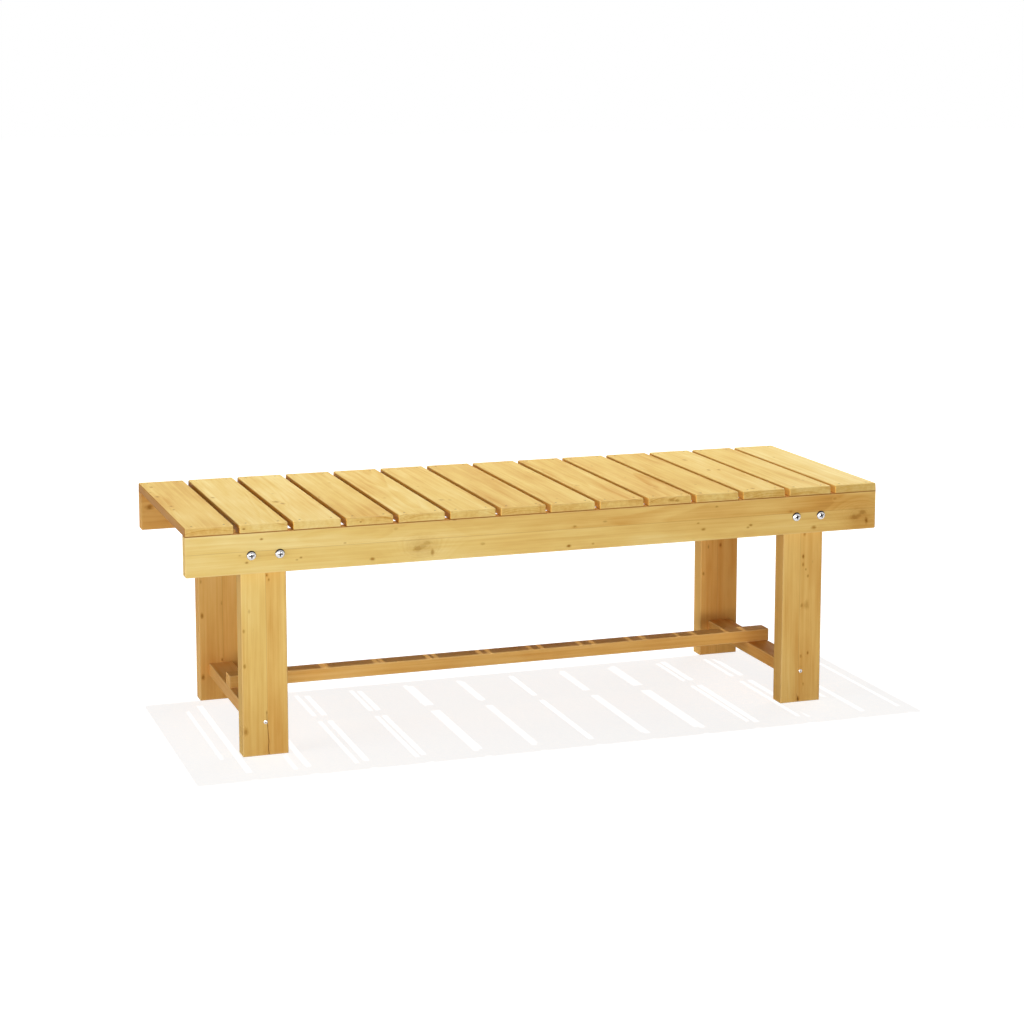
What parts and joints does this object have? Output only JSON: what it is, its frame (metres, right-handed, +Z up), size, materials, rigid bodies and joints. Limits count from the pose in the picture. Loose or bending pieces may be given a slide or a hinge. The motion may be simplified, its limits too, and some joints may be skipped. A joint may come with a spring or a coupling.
{
  "type": "garden bench",
  "caption": "Low backless garden bench of varnished pine: a slatted seat on two aprons, board legs bolted behind them and a low H stretcher, for sitting outdoors.",
  "frame": {"origin": "on the floor under the middle of the seat", "axes": "+X along the seat to the right as seen from the front, +Y from front to back, +Z up"},
  "size_m": [1.1, 0.3872, 0.35],
  "materials": {
    "slat_pine": "clear satin varnish over pale pine, rounded edges",
    "frame_pine": "clear satin varnish over honey-coloured pine, eased edges",
    "zinc_steel": "bright zinc plate"
  },
  "bodies": {
    "root": {"slat_01": "slat_pine", "slat_02": "slat_pine", "slat_03": "slat_pine", "slat_04": "slat_pine", "slat_05": "slat_pine", "slat_06": "slat_pine", "slat_07": "slat_pine", "slat_08": "slat_pine", "slat_09": "slat_pine", "slat_10": "slat_pine", "slat_11": "slat_pine", "slat_12": "slat_pine", "slat_13": "slat_pine", "slat_14": "slat_pine", "front_apron": "frame_pine", "rear_apron": "frame_pine", "leg_front_left": "frame_pine", "leg_front_right": "frame_pine", "leg_rear_left": "frame_pine", "leg_rear_right": "frame_pine", "end_stretcher_left": "frame_pine", "end_stretcher_right": "frame_pine", "long_stretcher": "frame_pine", "apron_bolts": "zinc_steel", "bolt_washers": "zinc_steel", "bolt_nuts": "zinc_steel", "leg_screws": "zinc_steel", "rail_screws": "zinc_steel", "slat_nails": "zinc_steel"}
  },
  "joints": []
}
